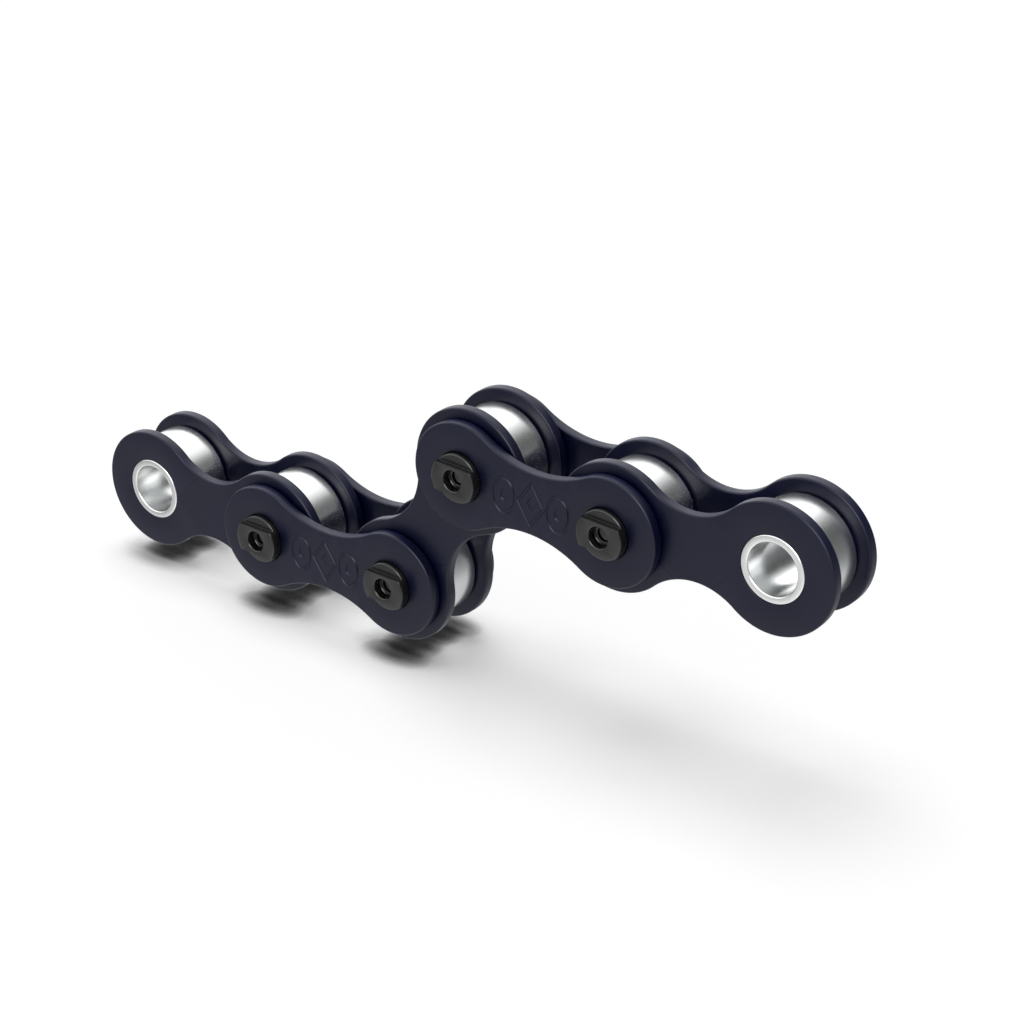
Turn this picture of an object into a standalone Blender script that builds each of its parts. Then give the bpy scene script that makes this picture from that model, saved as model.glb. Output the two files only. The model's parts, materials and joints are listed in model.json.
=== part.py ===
"""Five links of a 12.7 mm pitch roller chain: three inner links joined by two outer links.

Frame: the origin is on the axis of the left end bush, at the middle of the chain's width.
+X runs along the first link, +Y runs along the pins towards the back, +Z is up.
Every link is placed by an empty on the axis of its own left hand bush or pin, and the next
link starts where that one ends, so the chain lies in one bent line.
"""

import math

import bmesh
import bpy

MM = 0.001

# The chain as a whole
PITCH = 12.7 * MM
INNER_WIDTH = 3.65 * MM  # between the two plates of an inner link
PLATE_THICKNESS = 0.85 * MM
SIDE_PLAY = 0.17 * MM  # between an inner plate and the outer plate beside it
PRESS_GAP = 0.03 * MM  # left round a piece that is pressed into a plate
LINK_ANGLES = (0.0, 0.0, 58.1, -2.5, 3.7)  # degrees above the horizontal, left to right

# Plates: two round ends joined by a waist
INNER_END_RADIUS = 4.81 * MM
INNER_WAIST = 2.48 * MM  # from the centre line to the edge, at the narrowest place
OUTER_END_RADIUS = 4.09 * MM
OUTER_WAIST = 2.39 * MM
PLATE_CHAMFER = 0.14 * MM
END_STEPS = 16
WAIST_STEPS = 6

# Turned pieces
BUSH_RADIUS = 2.48 * MM
BUSH_BORE = 1.93 * MM
BUSH_CHAMFER = 0.10 * MM
BUSH_STEPS = 24
ROLLER_RADIUS = 3.875 * MM
ROLLER_BORE = 2.54 * MM
ROLLER_PLAY = 0.08 * MM  # between a roller and the plate on each side of it
ROLLER_CHAMFER = 0.22 * MM
ROLLER_STEPS = 32

# Pins: each end has a centre drilling and is cut back in two crescents, above and below a band
PIN_RADIUS = 1.895 * MM
PIN_LENGTH = 9.14 * MM
PIN_CHAMFER = 0.20 * MM
PIN_STEPS = 24
BAND_HALF_HEIGHT = 1.07 * MM
CRESCENT_DEPTH = 0.43 * MM
DRILL_RADIUS = 0.82 * MM
DRILL_DEPTH = 0.62 * MM
PILOT_RADIUS = 0.58 * MM
PILOT_DEPTH = 1.60 * MM
DRILL_POINT = 0.30 * MM  # height of the cone at the bottom of the pilot hole

INNER_LINK_WIDTH = INNER_WIDTH + 2 * PLATE_THICKNESS
INNER_PLATE_Y = (INNER_WIDTH + PLATE_THICKNESS) / 2
OUTER_PLATE_Y = (INNER_LINK_WIDTH + PLATE_THICKNESS) / 2 + SIDE_PLAY


def clear_scene():
    for obj in list(bpy.data.objects):
        bpy.data.objects.remove(obj)


def steel(name, colour, roughness):
    material = bpy.data.materials.new(name)
    material.use_nodes = True
    shader = material.node_tree.nodes["Principled BSDF"]
    shader.inputs["Base Color"].default_value = (*colour, 1.0)
    shader.inputs["Metallic"].default_value = 1.0
    shader.inputs["Roughness"].default_value = roughness
    return material


def finished_mesh(name, bm, material):
    bmesh.ops.recalc_face_normals(bm, faces=bm.faces)
    mesh = bpy.data.meshes.new(name)
    bm.to_mesh(mesh)
    bm.free()
    mesh.shade_smooth()
    mesh.set_sharp_from_angle(angle=math.radians(30))
    mesh.materials.append(material)
    return mesh


def arc(centre, radius, start, end, steps):
    """Points from the start angle to just before the end angle."""
    angles = [start + (end - start) * step / steps for step in range(steps)]
    return [(centre[0] + radius * math.cos(a), centre[1] + radius * math.sin(a)) for a in angles]


def plate_outline(end_radius, waist, inset):
    """The plate's outline in X and Z, moved inwards by the inset.

    A waist arc touches both end circles, so its radius follows from the pitch, the end radius
    and the height of the waist.
    """
    half = PITCH / 2
    waist_radius = (half**2 + waist**2 - end_radius**2) / (2 * (end_radius - waist))
    waist_centre = waist + waist_radius
    touch = math.atan2(waist_centre, half)
    end = end_radius - inset
    hollow = waist_radius + inset
    quarter = math.pi / 2
    right_end = arc((PITCH, 0), end, touch - math.pi, math.pi - touch, END_STEPS)
    top = arc((half, waist_centre), hollow, -touch, touch - 2 * quarter, WAIST_STEPS)
    left_end = arc((0, 0), end, touch, 2 * math.pi - touch, END_STEPS)
    bottom = arc((half, -waist_centre), hollow, math.pi - touch, touch, WAIST_STEPS)
    return right_end + top + left_end + bottom


def add_ring(bm, outline, y):
    """A closed ring of vertices at one depth, as its vertices and its edges."""
    verts = [bm.verts.new((x, y, z)) for x, z in outline]
    edges = [bm.edges.new((a, b)) for a, b in zip(verts, verts[1:] + verts[:1])]
    return verts, edges


def join_rings(bm, first, second):
    """A band of faces between two rings with the same number of vertices."""
    pairs = list(zip(first[0], second[0]))
    for (a, b), (c, d) in zip(pairs, pairs[1:] + pairs[:1]):
        bm.faces.new((a, c, d, b))


def plate_mesh(name, end_radius, waist, hole_radius, material):
    """A link plate: its left hole is at the origin, its right hole one pitch along +X."""
    bm = bmesh.new()
    half = PLATE_THICKNESS / 2
    depths = (-half, -half + PLATE_CHAMFER, half - PLATE_CHAMFER, half)
    insets = (PLATE_CHAMFER, 0, 0, PLATE_CHAMFER)
    rims = []
    for depth, inset in zip(depths, insets):
        rims.append(add_ring(bm, plate_outline(end_radius, waist, inset), depth))
    for first, second in zip(rims, rims[1:]):
        join_rings(bm, first, second)
    front_edges = list(rims[0][1])
    back_edges = list(rims[-1][1])
    for x in (0, PITCH):
        hole = arc((x, 0), hole_radius, 0, 2 * math.pi, BUSH_STEPS)
        front_hole = add_ring(bm, hole, -half)
        back_hole = add_ring(bm, hole, half)
        join_rings(bm, front_hole, back_hole)
        front_edges += front_hole[1]
        back_edges += back_hole[1]
    for edges in (front_edges, back_edges):
        bmesh.ops.triangle_fill(bm, use_beauty=True, use_dissolve=False, edges=edges)
    return finished_mesh(name, bm, material)


def turned_mesh(name, profile, closed, steps, material):
    """A piece turned about the Y axis from a profile of (radius, y) points."""
    bm = bmesh.new()
    verts = [bm.verts.new((radius, y, 0)) for radius, y in profile]
    edges = [bm.edges.new(pair) for pair in zip(verts, verts[1:])]
    if closed:
        edges.append(bm.edges.new((verts[-1], verts[0])))
    bmesh.ops.spin(
        bm,
        geom=verts + edges,
        cent=(0, 0, 0),
        axis=(0, 1, 0),
        angle=2 * math.pi,
        steps=steps,
        use_merge=True,
    )
    bmesh.ops.remove_doubles(bm, verts=bm.verts, dist=0.001 * MM)
    return finished_mesh(name, bm, material)


def around(radius, steps):
    """The radius to a polygon's corners when its sides touch a circle of the given radius."""
    return radius / math.cos(math.pi / steps)


def bush_mesh(material):
    end = INNER_LINK_WIDTH / 2
    bore = around(BUSH_BORE, BUSH_STEPS)
    cut = BUSH_CHAMFER
    profile = (
        (bore + cut, -end),
        (BUSH_RADIUS - cut, -end),
        (BUSH_RADIUS, -end + cut),
        (BUSH_RADIUS, end - cut),
        (BUSH_RADIUS - cut, end),
        (bore + cut, end),
        (bore, end - cut),
        (bore, -end + cut),
    )
    return turned_mesh("bush", profile, True, BUSH_STEPS, material)


def roller_mesh(material):
    end = INNER_WIDTH / 2 - ROLLER_PLAY
    bore = around(ROLLER_BORE, ROLLER_STEPS)
    cut = ROLLER_CHAMFER
    profile = (
        (bore, -end),
        (ROLLER_RADIUS - cut, -end),
        (ROLLER_RADIUS, -end + cut),
        (ROLLER_RADIUS, end - cut),
        (ROLLER_RADIUS - cut, end),
        (bore, end),
    )
    return turned_mesh("roller", profile, True, ROLLER_STEPS, material)


def pin_end_profile():
    """Half of the pin's profile, from the bottom of the drilling out to the pin's side."""
    end = PIN_LENGTH / 2
    drilling = end - DRILL_DEPTH
    pilot = end - PILOT_DEPTH
    return (
        (0, pilot - DRILL_POINT),
        (PILOT_RADIUS, pilot),
        (PILOT_RADIUS, drilling),
        (DRILL_RADIUS, drilling),
        (DRILL_RADIUS, end),
        (PIN_RADIUS - PIN_CHAMFER, end),
        (PIN_RADIUS, end - PIN_CHAMFER),
    )


def pin_mesh(material):
    back_half = pin_end_profile()
    front_half = [(radius, -y) for radius, y in reversed(back_half)]
    profile = list(back_half) + front_half
    return turned_mesh("pin", profile, False, PIN_STEPS, material)


def crescent_cutter_mesh():
    """Four blocks that cut the crescents above and below the band, on both ends of a pin."""
    bm = bmesh.new()
    block = 2 * PIN_RADIUS
    for end in (-1, 1):
        for side in (-1, 1):
            y = end * (PIN_LENGTH / 2 - CRESCENT_DEPTH + block / 2)
            z = side * (BAND_HALF_HEIGHT + block / 2)
            cube = bmesh.ops.create_cube(bm, size=1.0)
            bmesh.ops.scale(bm, vec=(2 * block, block, block), verts=cube["verts"])
            bmesh.ops.translate(bm, vec=(0, y, z), verts=cube["verts"])
    mesh = bpy.data.meshes.new("crescent_cutter")
    bm.to_mesh(mesh)
    bm.free()
    return mesh


def place(name, mesh, link_frame, x, y=0.0):
    obj = bpy.data.objects.new(name, mesh)
    bpy.context.scene.collection.objects.link(obj)
    obj.parent = link_frame
    obj.location = (x, y, 0)
    return obj


def cut_crescents(pin, cutter_mesh):
    cutter = place(pin.name + "_cutter", cutter_mesh, pin, 0)
    cutter.hide_render = True
    cutter.display_type = "WIRE"
    boolean = pin.modifiers.new("crescents", "BOOLEAN")
    boolean.operation = "DIFFERENCE"
    boolean.solver = "EXACT"
    boolean.object = cutter


def place_plates(link_name, mesh, link_frame, y):
    place(link_name + "_front_plate", mesh, link_frame, 0, -y)
    place(link_name + "_back_plate", mesh, link_frame, 0, y)


def link_frames():
    """An empty for each link, on the axis of its left hand joint and turned to its angle."""
    frames = []
    x = 0.0
    z = 0.0
    for number, degrees in enumerate(LINK_ANGLES, start=1):
        angle = math.radians(degrees)
        frame = bpy.data.objects.new(f"link_frame_{number}", None)
        bpy.context.scene.collection.objects.link(frame)
        frame.location = (x, 0, z)
        frame.rotation_euler = (0, -angle, 0)
        frames.append(frame)
        x += PITCH * math.cos(angle)
        z += PITCH * math.sin(angle)
    return frames


def build_inner_links(frames):
    plate_steel = steel("inner_plate_steel", (0.060, 0.062, 0.085), 0.5)
    bush_steel = steel("bush_steel", (0.55, 0.56, 0.58), 0.3)
    roller_steel = steel("roller_steel", (0.62, 0.62, 0.62), 0.25)
    hole = BUSH_RADIUS + PRESS_GAP
    plate = plate_mesh("inner_plate", INNER_END_RADIUS, INNER_WAIST, hole, plate_steel)
    bush = bush_mesh(bush_steel)
    roller = roller_mesh(roller_steel)
    for number, frame in enumerate(frames, start=1):
        place_plates(f"inner_link_{number}", plate, frame, INNER_PLATE_Y)
        for x, station in ((0, 2 * number - 1), (PITCH, 2 * number)):
            place(f"bush_{station}", bush, frame, x)
            place(f"roller_{station}", roller, frame, x)


def build_outer_links(frames):
    plate_steel = steel("outer_plate_steel", (0.055, 0.057, 0.080), 0.5)
    pin_steel = steel("pin_steel", (0.10, 0.105, 0.10), 0.35)
    hole = PIN_RADIUS + PRESS_GAP
    plate = plate_mesh("outer_plate", OUTER_END_RADIUS, OUTER_WAIST, hole, plate_steel)
    pin = pin_mesh(pin_steel)
    cutter = crescent_cutter_mesh()
    for number, frame in enumerate(frames, start=1):
        place_plates(f"outer_link_{number}", plate, frame, OUTER_PLATE_Y)
        for x, pin_number in ((0, 2 * number - 1), (PITCH, 2 * number)):
            cut_crescents(place(f"pin_{pin_number}", pin, frame, x), cutter)


def build_chain():
    clear_scene()
    frames = link_frames()
    build_inner_links(frames[0::2])
    build_outer_links(frames[1::2])


build_chain()
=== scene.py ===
import json
import math

import bmesh
import bpy
from mathutils import Matrix, Vector


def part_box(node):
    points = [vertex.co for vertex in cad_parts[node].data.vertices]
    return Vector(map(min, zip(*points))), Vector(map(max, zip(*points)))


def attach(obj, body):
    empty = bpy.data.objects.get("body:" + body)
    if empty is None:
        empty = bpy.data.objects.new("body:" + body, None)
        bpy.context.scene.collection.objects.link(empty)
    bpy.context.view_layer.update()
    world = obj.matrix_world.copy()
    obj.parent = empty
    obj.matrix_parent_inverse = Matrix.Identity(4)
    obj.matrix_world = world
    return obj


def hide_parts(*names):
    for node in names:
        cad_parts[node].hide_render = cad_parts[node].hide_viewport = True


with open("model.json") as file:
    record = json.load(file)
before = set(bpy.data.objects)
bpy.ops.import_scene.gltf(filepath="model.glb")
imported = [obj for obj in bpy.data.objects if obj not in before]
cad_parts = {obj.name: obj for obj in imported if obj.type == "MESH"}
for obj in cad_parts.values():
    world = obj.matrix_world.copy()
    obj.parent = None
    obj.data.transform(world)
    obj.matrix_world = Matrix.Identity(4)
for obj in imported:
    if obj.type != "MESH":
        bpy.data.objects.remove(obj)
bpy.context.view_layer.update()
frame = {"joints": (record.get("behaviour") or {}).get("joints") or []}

MM = 0.001
QUARTER = math.pi / 2

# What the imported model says: the stations are the axes of the rollers, from left to right
STATIONS = [
    Vector(joint["pos_m"])
    for joint in sorted(frame["joints"], key=lambda j: j["name"])
    if joint["name"].startswith("roller_spin_")
]
PITCH = (STATIONS[1] - STATIONS[0]).length


def extent(node, axis):
    low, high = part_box(node)
    return high[axis] - low[axis]


def middle(node, axis):
    low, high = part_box(node)
    return (high[axis] + low[axis]) / 2


PLATE_THICKNESS = extent("inner_link_1_front_plate", 1)
INNER_PLATE_Y = middle("inner_link_1_back_plate", 1)
OUTER_PLATE_Y = middle("outer_link_1_back_plate", 1)
INNER_END_RADIUS = STATIONS[0].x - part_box("inner_link_1_front_plate")[0].x
OUTER_END_RADIUS = STATIONS[1].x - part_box("outer_link_1_front_plate")[0].x
BUSH_LENGTH = extent("bush_1", 1)
BUSH_RADIUS = extent("bush_1", 2) / 2
ROLLER_LENGTH = extent("roller_1", 1)
ROLLER_RADIUS = extent("roller_1", 2) / 2
PIN_LENGTH = extent("pin_1", 1)
PIN_RADIUS = extent("pin_1", 2) / 2

# Plates
INNER_WAIST = 2.48 * MM
OUTER_WAIST = 2.39 * MM
PLATE_EDGE = 0.15 * MM
HOLE_EDGE = 0.05 * MM
PRESS_GAP = 0.03 * MM
END_STEPS = 72
WAIST_STEPS = 28
HOLE_STEPS = 96
EDGE_STEPS = 5
SHARP_ANGLE = 32  # degrees between faces, from which an edge is shaded as sharp
MERGE_DISTANCE = 0.0005 * MM

# Marks engraved in the two outer front plates
MARK_DEPTH = 0.07 * MM
MARK_STROKE = 0.24 * MM
MARK_SLOPE = 0.05 * MM
MARK_RADIUS = 0.92 * MM
MARK_TALL = 1.45  # height over width
MARK_PITCH = 2.35 * MM
MARK_STEPS = 64
DIAMOND_SCALE = 1.22  # over the ovals
POCKET_SHARE = 0.36  # of the mark round it

# Turned pieces
BUSH_BORE = 1.93 * MM
BUSH_EDGE = 0.12 * MM
ROLLER_BORE = 2.54 * MM
ROLLER_EDGE = 0.26 * MM
ROLLER_BORE_EDGE = 0.08 * MM
TURN_STEPS = 144

# Pins
PIN_EDGE = 0.13 * MM
RIM_EDGE = 0.14 * MM
STRAIGHT_EDGE_SHARE = 0.12  # of the rounding, along the band's straight sides
STEP_FILLET = 0.02 * MM
CRESCENT_ROOM_SHARE = 0.4  # of a crescent's height, for the rounding at its sharp ends
BAND_HALF_HEIGHT = 1.09 * MM
CRESCENT_DEPTH = 0.44 * MM
DRILL_RADIUS = 0.79 * MM
DRILL_DEPTH = 0.76 * MM
PILOT_RADIUS = 0.57 * MM
PILOT_DEPTH = 1.05 * MM
DRILL_POINT = 0.20 * MM
POINT_RADIUS = 0.02 * MM
DRILL_FLOOR_EDGE = 0.05 * MM
BAND_STEPS = 24
CHORD_STEPS = 40


# ---------------------------------------------------------------- meshes

def arc(centre, radius, start, end, steps):
    """Points from the start angle to just before the end angle."""
    angles = [start + (end - start) * step / steps for step in range(steps)]
    return [(centre[0] + radius * math.cos(a), centre[1] + radius * math.sin(a)) for a in angles]


def plate_outline(end_radius, waist, inset):
    """The plate's outline in X and Z, moved inwards by the inset."""
    half = PITCH / 2
    waist_radius = (half**2 + waist**2 - end_radius**2) / (2 * (end_radius - waist))
    waist_centre = waist + waist_radius
    touch = math.atan2(waist_centre, half)
    end = end_radius - inset
    hollow = waist_radius + inset
    right_end = arc((PITCH, 0), end, touch - math.pi, math.pi - touch, END_STEPS)
    top = arc((half, waist_centre), hollow, -touch, touch - math.pi, WAIST_STEPS)
    left_end = arc((0, 0), end, touch, 2 * math.pi - touch, END_STEPS)
    bottom = arc((half, -waist_centre), hollow, math.pi - touch, touch, WAIST_STEPS)
    return right_end + top + left_end + bottom


def add_ring(bm, points):
    verts = [bm.verts.new(p) for p in points]
    edges = [bm.edges.new(pair) for pair in zip(verts, verts[1:] + verts[:1])]
    return verts, edges


def join_rings(bm, first, second):
    pairs = list(zip(first[0], second[0]))
    for (a, b), (c, d) in zip(pairs, pairs[1:] + pairs[:1]):
        bm.faces.new((a, c, d, b))


def join_all(bm, rings):
    for first, second in zip(rings, rings[1:]):
        join_rings(bm, first, second)


def fillet(radius):
    """How far in and how far down a rounded edge is, from the face to the side."""
    steps = [QUARTER * step / EDGE_STEPS for step in range(EDGE_STEPS + 1)]
    return [(radius * (1 - math.sin(a)), radius * (1 - math.cos(a))) for a in steps]


# Marks rings for the lighter edge colour, which is partly wear and partly painted sheen
def mark_wear_and_sheen(rings, layer):
    for verts, _ in rings:
        for v in verts:
            v[layer] = 1.0


def finished_mesh(name, bm, material):
    bmesh.ops.remove_doubles(bm, verts=bm.verts, dist=MERGE_DISTANCE)
    bmesh.ops.recalc_face_normals(bm, faces=bm.faces)
    mesh = bpy.data.meshes.new(name)
    bm.to_mesh(mesh)
    bm.free()
    mesh.shade_smooth()
    mesh.set_sharp_from_angle(angle=math.radians(SHARP_ANGLE))
    mesh.materials.append(material)
    return mesh


def at_depth(outline, y):
    return [(x, y, z) for x, z in outline]


def diamond(centre, radius, steps):
    """A tall square standing on its corner, as points along its sides."""
    tall = MARK_TALL * radius
    corners = [(radius, 0), (0, tall), (-radius, 0), (0, -tall)]
    points = []
    for (x1, z1), (x2, z2) in zip(corners, corners[1:] + corners[:1]):
        for step in range(steps):
            t = step / steps
            points.append((centre[0] + x1 + (x2 - x1) * t, centre[1] + z1 + (z2 - z1) * t))
    return points


def oval(centre, radius, steps):
    ring = arc((0, 0), radius, 0, 2 * math.pi, 4 * steps)
    return [(centre[0] + x, centre[1] + MARK_TALL * z) for x, z in ring]


def engrave(bm, shape, centre, radius, face):
    """A closed groove with sloping walls, round a shape. Returns the edges in the plate's face."""
    factor = math.sqrt(2) if shape is diamond else 1.0
    half = MARK_STROKE / 2
    steps = 4 if shape is diamond else MARK_STEPS // 4
    foot = half - MARK_SLOPE
    insets = ((half, 0), (foot, MARK_DEPTH), (-foot, MARK_DEPTH), (-half, 0))
    rings = []
    for out, depth in insets:
        outline = shape(centre, radius + out * factor, steps)
        rings.append(add_ring(bm, at_depth(outline, face + depth)))
    join_all(bm, rings)
    return list(rings[0][1]) + list(rings[-1][1])


def pocket(bm, shape, centre, radius, face):
    """A small pocket with a flat floor."""
    steps = 4 if shape is diamond else MARK_STEPS // 4
    top = add_ring(bm, at_depth(shape(centre, radius, steps), face))
    floor = add_ring(bm, at_depth(shape(centre, radius - MARK_SLOPE, steps), face + MARK_DEPTH))
    join_rings(bm, top, floor)
    bm.faces.new(floor[0])
    return list(top[1])


def plate_mesh(name, end_radius, waist, hole_radius, marked, material):
    bm = bmesh.new()
    wear_and_sheen = bm.verts.layers.float.new("wear_and_sheen")
    half = PLATE_THICKNESS / 2
    front = [(inset, -half + down) for inset, down in fillet(PLATE_EDGE)]
    back = [(inset, -y) for inset, y in reversed(front)]
    rims = []
    for inset, y in front + back:
        rims.append(add_ring(bm, at_depth(plate_outline(end_radius, waist, inset), y)))
    join_all(bm, rims)
    # The rounded edges get a lighter colour: partly edge wear, partly painted sheen
    mark_wear_and_sheen(rims[2:EDGE_STEPS - 1] + rims[EDGE_STEPS + 3:-2], wear_and_sheen)
    front_edges = list(rims[0][1])
    back_edges = list(rims[-1][1])
    front = [(inset, -half + down) for inset, down in fillet(HOLE_EDGE)]
    back = [(inset, -y) for inset, y in reversed(front)]
    for x in (0, PITCH):
        holes = []
        for inset, y in front + back:
            outline = arc((x, 0), hole_radius + inset, 0, 2 * math.pi, HOLE_STEPS)
            holes.append(add_ring(bm, at_depth(outline, y)))
        join_all(bm, holes)
        front_edges += holes[0][1]
        back_edges += holes[-1][1]
    if marked:
        for place, shape in ((-1, oval), (0, diamond), (1, oval)):
            centre = (PITCH / 2 + place * MARK_PITCH, 0)
            radius = MARK_RADIUS if shape is oval else DIAMOND_SCALE * MARK_RADIUS
            front_edges += engrave(bm, shape, centre, radius, -half)
            front_edges += pocket(bm, shape, centre, POCKET_SHARE * radius, -half)
    for edges in (front_edges, back_edges):
        bmesh.ops.triangle_fill(bm, use_beauty=True, use_dissolve=False, edges=edges)
    return finished_mesh(name, bm, material)


def rounded(corners):
    """A closed profile of (radius, y, rounding) corners, as points, with each corner rounded."""
    points = []
    count = len(corners)
    for k, (x, y, rounding) in enumerate(corners):
        here = Vector((x, y))
        before = (Vector(corners[k - 1][:2]) - here).normalized()
        after = (Vector(corners[(k + 1) % count][:2]) - here).normalized()
        opening = before.angle(after)
        reach = rounding / math.tan(opening / 2)
        centre = here + (before + after).normalized() * (rounding / math.sin(opening / 2))
        start = here + before * reach - centre
        turn = start.angle_signed(here + after * reach - centre)
        for step in range(EDGE_STEPS + 1):
            spoke = Matrix.Rotation(-turn * (step / EDGE_STEPS), 2) @ start
            points.append(tuple(centre + spoke))
    return points


def turned_mesh(name, corners, material):
    """A ring turned about the Y axis."""
    bm = bmesh.new()
    rings = []
    for radius, y in rounded(corners):
        outline = arc((0, 0), radius, 0, 2 * math.pi, TURN_STEPS)
        rings.append(add_ring(bm, at_depth(outline, y)))
    join_all(bm, rings + rings[:1])
    return finished_mesh(name, bm, material)


def bush_mesh(material):
    end = BUSH_LENGTH / 2
    corners = [(r, y, BUSH_EDGE) for r, y in (
        (BUSH_BORE, -end), (BUSH_RADIUS, -end), (BUSH_RADIUS, end), (BUSH_BORE, end))]
    return turned_mesh("bush", corners, material)


def roller_mesh(material):
    end = ROLLER_LENGTH / 2
    corners = [
        (ROLLER_BORE, -end, ROLLER_BORE_EDGE),
        (ROLLER_RADIUS, -end, ROLLER_EDGE),
        (ROLLER_RADIUS, end, ROLLER_EDGE),
        (ROLLER_BORE, end, ROLLER_BORE_EDGE),
    ]
    return turned_mesh("roller", corners, material)


CORNER = math.asin(BAND_HALF_HEIGHT / PIN_RADIUS)


def pin_angles():
    """The angle of each point round a pin, with points on the corners of the band."""
    side = [2 * CORNER * k / BAND_STEPS - CORNER for k in range(BAND_STEPS)]
    top = [CORNER + (math.pi - 2 * CORNER) * k / CHORD_STEPS for k in range(CHORD_STEPS)]
    return side + top + [a + math.pi for a in side] + [a + math.pi for a in top]


ANGLES = pin_angles()


def in_crescent(index):
    return index % (BAND_STEPS + CHORD_STEPS) > BAND_STEPS


def pin_circle(radius, y):
    return [(radius * math.cos(a), y, radius * math.sin(a)) for a in ANGLES]


def band_ring(inset, y):
    """The outline of the raised band across the end of a pin, moved inwards by the inset."""
    radius = PIN_RADIUS - inset
    height = BAND_HALF_HEIGHT - STRAIGHT_EDGE_SHARE * inset
    corner = math.asin(height / radius)
    points = []
    for index, a in enumerate(ANGLES):
        if in_crescent(index):
            x = radius * math.cos(corner) * math.cos(a) / math.cos(CORNER)
            points.append((x, y, math.copysign(height, math.sin(a))))
        else:
            side = 0 if math.cos(a) > 0 else math.pi
            turned = side + (a - side if a < math.pi * 1.5 else a - 2 * math.pi) * corner / CORNER
            points.append((radius * math.cos(turned), y, radius * math.sin(turned)))
    return points


def crescent_ring(ledge, inward, downward, at_rim):
    """A ring on the crescents' floor, beside the band or at the rim, through the band's corners."""
    points = []
    for index, a in enumerate(ANGLES):
        if not in_crescent(index):
            points.append((PIN_RADIUS * math.cos(a), ledge, PIN_RADIUS * math.sin(a)))
            continue
        room = PIN_RADIUS * abs(math.sin(a)) - BAND_HALF_HEIGHT
        limit = RIM_EDGE if at_rim else STEP_FILLET
        share = min(1.0, CRESCENT_ROOM_SHARE * room / limit)
        if at_rim:
            radius = PIN_RADIUS - inward * share
            points.append((radius * math.cos(a), ledge + downward * share, radius * math.sin(a)))
        else:
            height = BAND_HALF_HEIGHT + inward * share
            points.append(
                (PIN_RADIUS * math.cos(a), ledge - downward * share,
                 math.copysign(height, math.sin(a))))
    return points


def pin_end_rings():
    """The rings of one end, from the tip of its drilling to the pin's side, each with its share of
    the lighter edge colour, which is partly wear and partly painted sheen.
    """
    end = -PIN_LENGTH / 2
    ledge = end + CRESCENT_DEPTH
    step = end + DRILL_DEPTH
    edge = DRILL_FLOOR_EDGE
    rings = [
        (pin_circle(POINT_RADIUS, end + PILOT_DEPTH + DRILL_POINT), 0),
        (pin_circle(PILOT_RADIUS, end + PILOT_DEPTH), 0),
        (pin_circle(PILOT_RADIUS, step + edge), 0),
        (pin_circle(PILOT_RADIUS + 0.3 * edge, step + 0.3 * edge), 1),
        (pin_circle(PILOT_RADIUS + edge, step), 1),
        (pin_circle(DRILL_RADIUS - 0.8 * edge, step - 0.4 * edge), 1),
        (pin_circle(DRILL_RADIUS, step - 1.4 * edge), 0),
    ]
    for outward, down in reversed(fillet(PIN_EDGE)):
        rings.append((pin_circle(DRILL_RADIUS + outward, end + down), 1))
    for inset, down in fillet(PIN_EDGE):
        rings.append((band_ring(inset, end + down), 1))
    for outward, up in reversed(fillet(STEP_FILLET)):
        rings.append((crescent_ring(ledge, STEP_FILLET - up, STEP_FILLET - outward, False), 0))
    for inward, down in fillet(RIM_EDGE):
        rings.append((crescent_ring(ledge, inward, down, True), 1))
    return rings


def pin_mesh(material):
    bm = bmesh.new()
    wear_and_sheen = bm.verts.layers.float.new("wear_and_sheen")
    front = pin_end_rings()
    side = [(pin_circle(PIN_RADIUS, -PIN_LENGTH / 2 + CRESCENT_DEPTH + 2 * RIM_EDGE), 0)]
    front = front + side
    back = [([(x, -y, z) for x, y, z in points], sheen_and_wear) for points, sheen_and_wear in reversed(front)]
    rings = []
    # Each ring carries its share of the lighter edge colour: partly wear, partly painted sheen
    for points, sheen_and_wear in front + back:
        ring = add_ring(bm, points)
        for v in ring[0]:
            v[wear_and_sheen] = sheen_and_wear
        rings.append(ring)
    join_all(bm, rings)
    bm.faces.new(rings[0][0])
    bm.faces.new(rings[-1][0])
    return finished_mesh("pin", bm, material)


# ---------------------------------------------------------------- materials

# Blued plates and black oxide pins. All colours are linear.
NAVY_DEEP = (0.0005, 0.0014, 0.0165)
NAVY_LIGHT = (0.0012, 0.0024, 0.0205)
# Colour of the plates' rounded edges: partly edge wear, partly painted sheen
NAVY_WORN_SHEEN = (0.010, 0.012, 0.022)
INNER_SEED = 3.1
OUTER_SEED = 8.7
OXIDE_DARK = (0.0040, 0.0043, 0.0041)
OXIDE_LIGHT = (0.0056, 0.0059, 0.0057)
# Colour of the pins' rounded edges: partly rubbed oxide, partly painted sheen
OXIDE_WORN_SHEEN = (0.03, 0.031, 0.031)
# Turned steel: its darker and lighter colour, its least and most roughness
BUSH_STEEL = ((0.745, 0.755, 0.75), (0.77, 0.78, 0.775), 0.20, 0.225)
ROLLER_STEEL = ((0.70, 0.705, 0.70), (0.72, 0.725, 0.72), 0.235, 0.25)
# How high the bumps of the surface are
TUMBLED_BUMP = 0.03 * MM
GROUND_BUMP = 0.001 * MM


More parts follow.
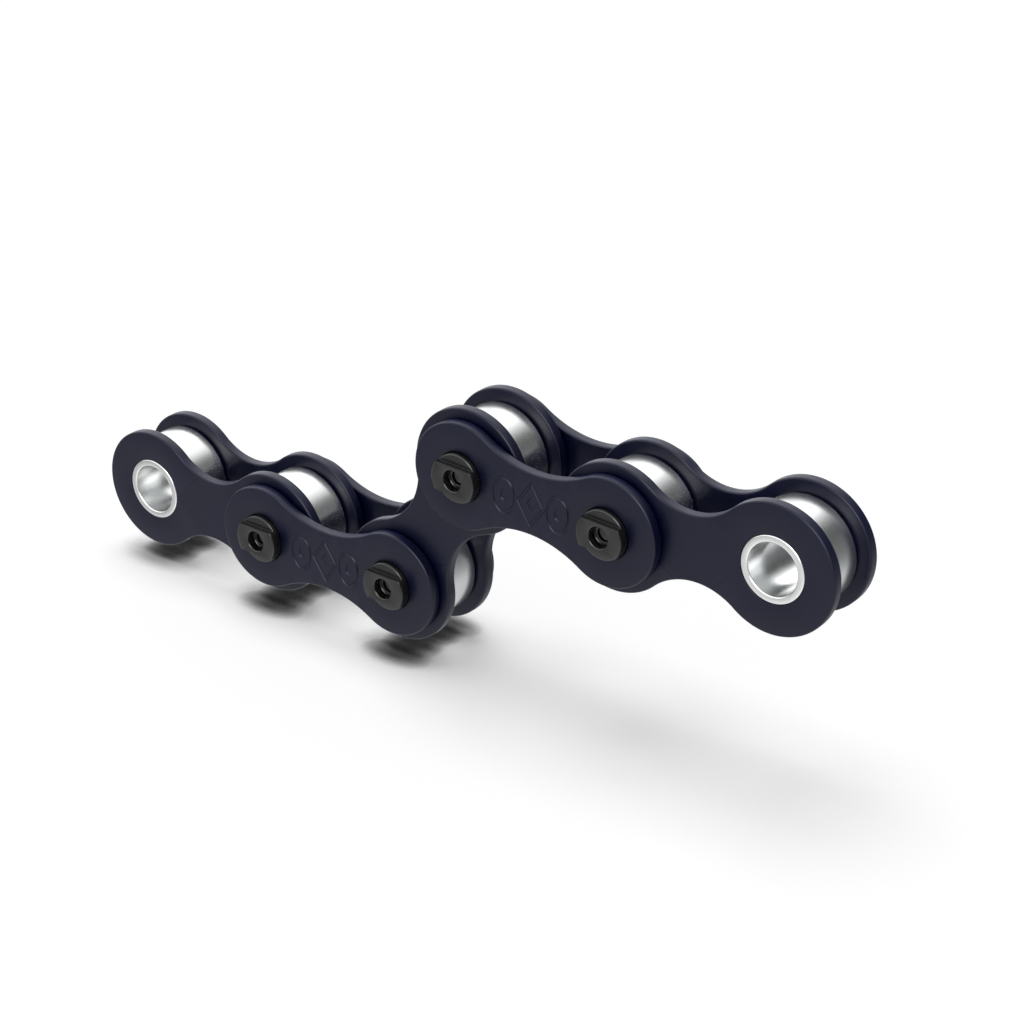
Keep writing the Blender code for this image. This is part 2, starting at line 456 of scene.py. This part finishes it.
class Nodes:
    """Short calls that add shader nodes to a material or a world."""

    def __init__(self, tree):
        self.tree = tree
        tree.nodes.clear()

    def add(self, kind, inputs=(), **settings):
        node = self.tree.nodes.new(kind)
        for name, value in settings.items():
            setattr(node, name, value)
        for key, value in dict(inputs).items():
            if isinstance(value, bpy.types.NodeSocket):
                self.tree.links.new(value, node.inputs[key])
            else:
                node.inputs[key].default_value = value
        return node

    def math(self, operation, *values):
        return self.add("ShaderNodeMath", enumerate(values), operation=operation).outputs[0]

    def vector(self, operation, *values, out=0):
        return self.add("ShaderNodeVectorMath", enumerate(values), operation=operation).outputs[out]

    def scale(self, vector, factor):
        node = self.add("ShaderNodeVectorMath", {0: vector}, operation="SCALE")
        node.inputs["Scale"].default_value = factor
        return node.outputs[0]

    def noise(self, vector, scale, detail, roughness):
        inputs = {"Vector": vector, "Scale": scale, "Detail": detail, "Roughness": roughness}
        return self.add("ShaderNodeTexNoise", inputs).outputs[0]

    def remap(self, value, low, high, out_low, out_high, smooth=False):
        inputs = {
            "Value": value, "From Min": low, "From Max": high,
            "To Min": out_low, "To Max": out_high}
        kind = "SMOOTHSTEP" if smooth else "LINEAR"
        node = self.add("ShaderNodeMapRange", inputs, interpolation_type=kind, clamp=True)
        return node.outputs[0]

    def mix(self, factor, first, second):
        node = self.add("ShaderNodeMix", data_type="RGBA")
        for socket, value in ((0, factor), (6, first), (7, second)):
            if isinstance(value, bpy.types.NodeSocket):
                self.tree.links.new(value, node.inputs[socket])
            elif socket:
                node.inputs[socket].default_value = (*value, 1.0)
            else:
                node.inputs[socket].default_value = value
        return node.outputs[2]


def material(name):
    made = bpy.data.materials.new(name)
    made.use_nodes = True
    return made, Nodes(made.node_tree)


def close(nodes, bsdf):
    nodes.add("ShaderNodeOutputMaterial", {"Surface": bsdf.outputs[0]})


def millimetres(nodes):
    coordinates = nodes.add("ShaderNodeTexCoord").outputs["Object"]
    return nodes.scale(coordinates, 1 / MM)


# The mask of the lighter edge colour: partly wear, partly painted sheen
def wear_and_sheen_of(nodes):
    return nodes.add("ShaderNodeAttribute", attribute_name="wear_and_sheen").outputs["Fac"]


def blued_plate(name, seed):
    """Satin blued steel: a dark navy film over tumbled steel, a little lighter on its rounded
    edges, partly from wear and partly as painted sheen.
    """
    made, n = material(name)
    here = n.vector("ADD", millimetres(n), (seed, 0.4 * seed, 1.7 * seed))
    grain = n.noise(here, 14.0, 3.0, 0.65)
    speckle = n.noise(here, 4.2, 4.0, 0.6)
    cloud = n.noise(here, 0.35, 3.0, 0.55)
    scuff = n.noise(n.vector("MULTIPLY", here, (0.9, 3.0, 7.0)), 1.3, 3.0, 0.6)
    tone = n.math("ADD", n.math("MULTIPLY", cloud, 0.6), n.math("MULTIPLY", speckle, 0.4))
    colour = n.mix(n.remap(tone, 0.34, 0.66, 0.0, 1.0), NAVY_DEEP, NAVY_LIGHT)
    # Lighter rounded edges: partly wear, partly painted sheen
    edge = n.math("MULTIPLY", wear_and_sheen_of(n), n.remap(speckle, 0.35, 0.65, 0.35, 1.0))
    colour = n.mix(n.math("MULTIPLY", edge, 0.4), colour, NAVY_WORN_SHEEN)
    rough = n.remap(cloud, 0.3, 0.7, 0.34, 0.40)
    rough = n.math("ADD", rough, n.remap(scuff, 0.45, 0.75, 0.0, 0.07))
    rough = n.math("SUBTRACT", rough, n.math("MULTIPLY", edge, 0.06))
    height = n.math("ADD", n.math("MULTIPLY", grain, 0.6), n.math("MULTIPLY", speckle, 0.4))
    bump = n.add("ShaderNodeBump", {"Strength": 0.22, "Distance": TUMBLED_BUMP, "Height": height})
    bsdf = n.add("ShaderNodeBsdfPrincipled", {
        "Base Color": colour, "Roughness": rough, "Metallic": 0.0, "IOR": 1.39,
        "Normal": bump.outputs[0]})
    close(n, bsdf)
    return made


def around_axis(nodes, lengthwise, round_about):
    """Millimetres, and coordinates in which noise becomes lines round the Y axis."""
    here = millimetres(nodes)
    flat = nodes.vector("MULTIPLY", here, (1.0, 0.0, 1.0))
    radius = nodes.vector("LENGTH", flat, out=1)
    spoke = nodes.scale(nodes.vector("NORMALIZE", flat), round_about)
    apart = nodes.add("ShaderNodeSeparateXYZ", {0: here})
    along = nodes.math("MULTIPLY", nodes.math("ADD", apart.outputs[1], radius), lengthwise)
    lift = nodes.add("ShaderNodeCombineXYZ", {1: along}).outputs[0]
    return here, nodes.vector("ADD", spoke, lift)


def turned_steel(name, dark, bright, smooth, rough):
    """Bright turned steel, with fine lines round its axis and a light haze."""
    made, n = material(name)
    here, line = around_axis(n, 3.0, 0.5)
    lines = n.noise(line, 1.0, 2.0, 0.5)
    fine = n.noise(line, 2.5, 2.0, 0.5)
    haze = n.noise(here, 0.6, 3.0, 0.6)
    speck = n.noise(here, 3.0, 2.0, 0.5)
    tone = n.math("ADD", n.math("MULTIPLY", lines, 0.55), n.math("MULTIPLY", haze, 0.45))
    colour = n.mix(n.remap(tone, 0.32, 0.68, 0.0, 1.0), dark, bright)
    shine = n.remap(fine, 0.3, 0.7, smooth, rough)
    shine = n.math("ADD", shine, n.remap(haze, 0.5, 0.75, 0.0, 0.02))
    height = n.math("ADD", n.math("MULTIPLY", fine, 0.6), n.math("MULTIPLY", speck, 0.4))
    bump = n.add("ShaderNodeBump", {"Strength": 0.02, "Distance": GROUND_BUMP, "Height": height})
    bsdf = n.add("ShaderNodeBsdfPrincipled", {
        "Base Color": colour, "Roughness": shine, "Metallic": 1.0,
        "Normal": bump.outputs[0]})
    close(n, bsdf)
    return made


def black_pin(name):
    """Black oxide on ground steel, polished and lighter where its edges have rubbed; the lighter
    edge colour is partly wear and partly painted sheen.
    """
    made, n = material(name)
    here, line = around_axis(n, 3.0, 0.6)
    lines = n.noise(line, 1.0, 2.0, 0.5)
    cloud = n.noise(here, 1.1, 3.0, 0.6)
    speck = n.noise(here, 4.0, 2.0, 0.5)
    colour = n.mix(n.remap(cloud, 0.35, 0.65, 0.0, 1.0), OXIDE_DARK, OXIDE_LIGHT)
    # Lighter, smoother rounded edges: the colour is partly rubbed oxide, partly painted sheen
    rubbed_and_sheen = n.math("MULTIPLY", wear_and_sheen_of(n), n.remap(speck, 0.3, 0.6, 0.85, 1.0))
    colour = n.mix(n.math("MULTIPLY", rubbed_and_sheen, 0.4), colour, OXIDE_WORN_SHEEN)
    rough = n.remap(lines, 0.3, 0.7, 0.21, 0.25)
    rough = n.math("SUBTRACT", rough, n.math("MULTIPLY", rubbed_and_sheen, 0.08))
    height = n.math("ADD", n.math("MULTIPLY", lines, 0.5), n.math("MULTIPLY", speck, 0.5))
    bump = n.add("ShaderNodeBump", {"Strength": 0.03, "Distance": GROUND_BUMP, "Height": height})
    bsdf = n.add("ShaderNodeBsdfPrincipled", {
        "Base Color": colour, "Roughness": rough, "Metallic": 0.0, "IOR": 1.54,
        "Normal": bump.outputs[0]})
    close(n, bsdf)
    return made


# ---------------------------------------------------------------- the chain

def link_matrix(number):
    """Where link 1 to 5 lies: its left hand axis, turned towards its right hand one."""
    start = STATIONS[number - 1]
    end = STATIONS[number]
    angle = math.atan2(end.z - start.z, end.x - start.x)
    return Matrix.Translation(start) @ Matrix.Rotation(-angle, 4, "Y")


def piece(name, mesh, matrix, body, node):
    """A piece in its place. The turn is in its mesh, so that its box is as small as it can be."""
    place, turn, _ = matrix.decompose()
    turned = mesh.copy()
    turned.transform(turn.to_matrix().to_4x4())
    obj = bpy.data.objects.new(name, turned)
    bpy.context.scene.collection.objects.link(obj)
    obj.location = place
    normals = obj.modifiers.new("face_weighted_normals", "WEIGHTED_NORMAL")
    normals.keep_sharp = True
    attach(obj, body)
    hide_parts(node)


def shift(x, y=0.0):
    return Matrix.Translation((x, y, 0))


def build_inner_links():
    steel = blued_plate("inner_plate_steel", INNER_SEED)
    hole = BUSH_RADIUS + PRESS_GAP
    plate = plate_mesh("inner_plate", INNER_END_RADIUS, INNER_WAIST, hole, False, steel)
    bush = bush_mesh(turned_steel("bush_steel", *BUSH_STEEL))
    roller = roller_mesh(turned_steel("roller_steel", *ROLLER_STEEL))
    for number in (1, 2, 3):
        body = f"inner_link_{number}"
        where = link_matrix(2 * number - 1)
        for side, y in (("front", -INNER_PLATE_Y), ("back", INNER_PLATE_Y)):
            piece(f"inner_plate_{number}_{side}", plate, where @ shift(0, y), body,
                  f"{body}_{side}_plate")
        for x, station in ((0, 2 * number - 1), (PITCH, 2 * number)):
            piece(f"turned_bush_{station}", bush, where @ shift(x), body,
                  f"bush_{station}")
            piece(f"turned_roller_{station}", roller, where @ shift(x), f"roller_{station}",
                  f"roller_{station}")


def build_outer_links():
    steel = blued_plate("outer_plate_steel", OUTER_SEED)
    size = (OUTER_END_RADIUS, OUTER_WAIST, PIN_RADIUS + PRESS_GAP)
    marked = plate_mesh("outer_plate_marked", *size, True, steel)
    plain = plate_mesh("outer_plate_plain", *size, False, steel)
    pin = pin_mesh(black_pin("pin_steel"))
    for number in (1, 2):
        body = f"outer_link_{number}"
        where = link_matrix(2 * number)
        for side, y, mesh in (("front", -OUTER_PLATE_Y, marked), ("back", OUTER_PLATE_Y, plain)):
            piece(f"outer_plate_{number}_{side}", mesh, where @ shift(0, y), body,
                  f"{body}_{side}_plate")
        for x, end in ((0, 2 * number - 1), (PITCH, 2 * number)):
            piece(f"turned_pin_{end}", pin, where @ shift(x), body, f"pin_{end}")


# ---------------------------------------------------------------- stage

WHITE = (1.0, 1.0, 1.0)
FLOOR_Z = -6.1 * MM
FLOOR_HALF = 0.9
FLOOR_PALE = (0.80, 0.80, 0.80)
# The floor's colour in the painted shade under the chain
FLOOR_PAINTED_SHADE = (0.10, 0.10, 0.10)
FLOOR_GLOW = 0.375
# The painted shade close under the chain, which darkens the floor's colour and glow: how far it
# reaches, and how open the floor is from dark to pale
SHADE_REACH = 2.8 * MM
SHADE_OPEN = (0.68, 0.97)


def build_floor():
    made, n = material("studio_floor")
    # Painted shade: the floor's colour and glow darken where the chain is close above
    near = n.add("ShaderNodeAmbientOcclusion", {"Distance": SHADE_REACH}, samples=16)
    contact = n.remap(near.outputs["AO"], *SHADE_OPEN, 0.0, 1.0, smooth=True)
    glow = n.add("ShaderNodeEmission", {"Color": contact, "Strength": FLOOR_GLOW})
    colour = n.mix(contact, FLOOR_PAINTED_SHADE, FLOOR_PALE)
    paper = n.add("ShaderNodeBsdfDiffuse", {"Color": colour})
    close(n, n.add("ShaderNodeAddShader", {0: glow.outputs[0], 1: paper.outputs[0]}))
    made.cycles.emission_sampling = "NONE"
    bm = bmesh.new()
    corners = [(-1, -1), (1, -1), (1, 1), (-1, 1)]
    bm.faces.new([bm.verts.new((x * FLOOR_HALF, y * FLOOR_HALF, FLOOR_Z)) for x, y in corners])
    mesh = bpy.data.meshes.new("studio_floor")
    bm.to_mesh(mesh)
    bm.free()
    mesh.materials.append(made)
    floor = bpy.data.objects.new("studio_floor", mesh)
    bpy.context.scene.collection.objects.link(floor)
    floor.visible_glossy = False


# What the steel reflects: an even sky, with soft lights added to it and one dim patch. Each has
# a direction, the edge and the middle of its lobe in degrees from that direction, and a strength.
SKY = 0.38
LOBES = (
    ((0.0, 0.45, -0.89), 92, 76, 0.38),
    ((0.2, -0.9, -0.4), 60, 15, 0.5),
    ((-0.60, 0.66, 0.48), 48, 24, 0.75),
    ((-0.20, -0.24, 0.95), 78, 60, 1.15),
    ((0.45, -0.70, 0.58), 29, 10, 3.9),
)
DIM_PATCH = ((0.40, 0.90, 0.15), 40, 14, 0.78)
COOL_SIDE = ((0.1, 0.85, -0.35), 85, 30, 1.0)
COOL_TINT = (0.955, 0.98, 1.0)
BACKDROP = 1.2
# The lights overhead, which cast the floor's shadows: angle across in degrees, strength
OVERHEAD = ((44, 1.70), (160, 0.90))
OVERHEAD_LEAN = (0.22, -0.09, -1.0)


def build_world():
    """The world is white to the camera, and lights only reflections."""
    world = bpy.data.worlds.new("studio")
    world.use_nodes = True
    n = Nodes(world.node_tree)
    looking = n.add("ShaderNodeTexCoord").outputs["Generated"]

    def lobe(direction, edge, middle, strength):
        towards = tuple(Vector(direction).normalized())
        dot = n.vector("DOT_PRODUCT", looking, towards, out=1)
        limits = (math.cos(math.radians(edge)), math.cos(math.radians(middle)))
        return n.remap(dot, *limits, 0.0, strength, smooth=True)

    light = SKY
    for direction, edge, middle, strength in LOBES:
        light = n.math("ADD", light, lobe(direction, edge, middle, strength))
    light = n.math("MULTIPLY", light, n.math("SUBTRACT", 1.0, lobe(*DIM_PATCH)))
    seen = n.add("ShaderNodeLightPath").outputs["Is Camera Ray"]
    reflected = n.math("SUBTRACT", 1.0, seen)
    strength = n.math("MULTIPLY", light, reflected)
    strength = n.math("ADD", n.math("MULTIPLY", seen, BACKDROP), strength)
    tint = n.mix(n.math("MULTIPLY", lobe(*COOL_SIDE), reflected), WHITE, COOL_TINT)
    background = n.add("ShaderNodeBackground", {"Color": tint, "Strength": strength})
    n.add("ShaderNodeOutputWorld", {"Surface": background.outputs[0]})
    world.cycles_visibility.diffuse = False
    world.cycles.sampling_method = "NONE"
    bpy.context.scene.world = world


def build_overhead_lights():
    for number, (across, strength) in enumerate(OVERHEAD, start=1):
        data = bpy.data.lights.new(f"overhead_{number}", "SUN")
        data.angle = math.radians(across)
        data.energy = strength
        light = bpy.data.objects.new(f"overhead_{number}", data)
        light.rotation_euler = Vector(OVERHEAD_LEAN).to_track_quat("-Z", "Y").to_euler()
        light.visible_glossy = False
        bpy.context.scene.collection.objects.link(light)


CAMERA_PLACE = (133.308 * MM, -128.901 * MM, 87.531 * MM)
CAMERA_YAW = 37.62
CAMERA_PITCH = 26.285
CAMERA_LENS = 88.8
CAMERA_SENSOR = 36.0


def build_camera():
    data = bpy.data.cameras.new("camera")
    data.lens = CAMERA_LENS
    data.sensor_width = CAMERA_SENSOR
    data.clip_start = 0.01
    data.clip_end = 10.0
    camera = bpy.data.objects.new("camera", data)
    camera.location = CAMERA_PLACE
    camera.rotation_euler = (math.radians(90 - CAMERA_PITCH), 0, math.radians(CAMERA_YAW))
    bpy.context.scene.collection.objects.link(camera)
    bpy.context.scene.camera = camera


build_inner_links()
build_outer_links()
build_floor()
build_world()
build_overhead_lights()
build_camera()
bpy.context.scene.view_settings.view_transform = "Standard"
